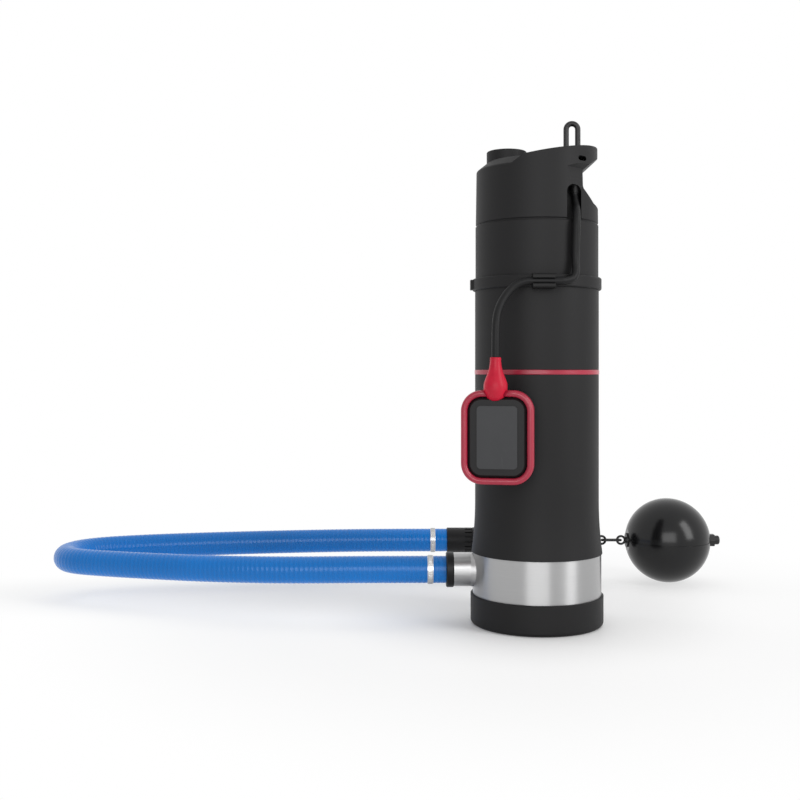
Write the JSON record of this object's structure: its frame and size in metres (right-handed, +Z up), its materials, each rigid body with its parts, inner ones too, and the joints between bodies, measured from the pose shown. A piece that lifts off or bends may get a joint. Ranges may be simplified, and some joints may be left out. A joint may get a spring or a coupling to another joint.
{
  "type": "submersible sump pump",
  "caption": "Submersible pump with an upright sleeved casing, a hanging float switch, and a ribbed suction hose that ends in a strainer tethered to a ball float.",
  "frame": {"origin": "centre of the base's underside", "axes": "+Z up along the casing, +X away from the suction inlet, -Y towards the float switch"},
  "size_m": [0.8644, 0.4073, 0.5705],
  "materials": {
    "casing_plastic": "fine satin",
    "band_steel": "brushed",
    "wire_steel": "polished",
    "black_steel": "black coated",
    "accent_plastic": "satin",
    "boot_rubber": "matte",
    "panel_plastic": "flat",
    "hose_blue": "satin",
    "cable_rubber": "satin",
    "insert_brass": "machined",
    "seal_rubber": "matte",
    "iron": "machined",
    "copper_wire": "lacquered",
    "stage_plastic": "moulded",
    "seal_ceramic": "lapped",
    "can_aluminium": "drawn",
    "board_green": "lacquered",
    "switch_plastic": "moulded"
  },
  "bodies": {
    "pump": {"base_cap": "casing_plastic", "lower_sleeve": "casing_plastic", "middle_sleeve": "casing_plastic", "collar_ring": "casing_plastic", "upper_sleeve": "casing_plastic", "head": "casing_plastic", "head_crown": "casing_plastic", "outlet_pipe": "casing_plastic", "float_cable_gland": "casing_plastic", "power_cable_gland": "casing_plastic", "cable_clip": "casing_plastic", "hose_nut": "casing_plastic", "inlet_tail": "casing_plastic", "strainer_socket": "casing_plastic", "strainer_basket": "casing_plastic", "strainer_cap": "casing_plastic", "suction_band": "band_steel", "motor_can": "band_steel", "lifting_eye": "black_steel", "cover_screws": "wire_steel", "hose_clamps": "wire_steel", "valve_spring": "wire_steel", "shaft_bearings": "wire_steel", "accent_band": "accent_plastic", "suction_hose": "hose_blue", "head_cable": "cable_rubber", "discharge_insert": "insert_brass", "seal_rings": "seal_rubber", "stator_core": "iron", "motor_covers": "iron", "stator_winding": "copper_wire", "diffuser_1": "stage_plastic", "diffuser_2": "stage_plastic", "diffuser_3": "stage_plastic", "valve_cage": "stage_plastic", "seal_seat": "seal_ceramic", "capacitor": "can_aluminium", "control_board": "board_green"},
    "rotor": {"rotor_shaft": "wire_steel", "rotor_core": "iron", "impeller_1": "stage_plastic", "impeller_2": "stage_plastic", "impeller_3": "stage_plastic", "seal_face": "seal_ceramic", "shaft_nut": "wire_steel"},
    "check_valve": {"valve_disc": "stage_plastic"},
    "foot_valve": {"foot_valve_disc": "stage_plastic", "foot_valve_spring": "wire_steel"},
    "float_switch": {"float_front": "casing_plastic", "float_back": "casing_plastic", "float_rim": "accent_plastic", "float_boot": "boot_rubber", "float_panel": "panel_plastic", "switch_module": "switch_plastic", "float_cable": "cable_rubber"},
    "tilt_ball": {"tilt_ball": "wire_steel"},
    "tether": {"tether_link": "black_steel"},
    "ball_float": {"ball_halves": "casing_plastic", "ball_eyebolt": "black_steel", "ball_nuts": "black_steel"}
  },
  "joints": [
    {"name": "rotor_spin", "type": "hinge", "parent": "pump", "child": "rotor", "pos_m": [0, 0, 0.334], "axis": [0, 0, 1], "continuous": true},
    {"name": "check_valve_lift", "type": "slide", "parent": "pump", "child": "check_valve", "axis": [0, 0, 1], "range_m": [0, 0.008], "stiffness_N_per_m": 150, "springref_m": -0.01, "deforming": ["valve_spring"]},
    {"name": "foot_valve_lift", "type": "slide", "parent": "pump", "child": "foot_valve", "axis": [-1, 0, 0], "range_m": [0, 0.006], "stiffness_N_per_m": 60, "springref_m": -0.008},
    {"name": "float_swing", "type": "hinge", "parent": "pump", "child": "float_switch", "pos_m": [-0.0186, -0.0782, 0.3822], "axis": [0, 1, 0], "range_deg": [0, 90]},
    {"name": "tilt_ball_roll", "type": "slide", "parent": "float_switch", "child": "tilt_ball", "axis": [0, 0, 1], "range_m": [0, 0.02]},
    {"name": "tether_swing", "type": "hinge", "parent": "pump", "child": "tether", "pos_m": [0.1183, 0.242, 0.0565], "axis": [0, -1, 0], "range_deg": [-80, 80]},
    {"name": "ball_yaw", "type": "hinge", "parent": "tether", "child": "ball_float", "pos_m": [0.13925, 0.242, 0.0565], "axis": [0, 0, 1], "range_deg": [-60, 60]}
  ]
}
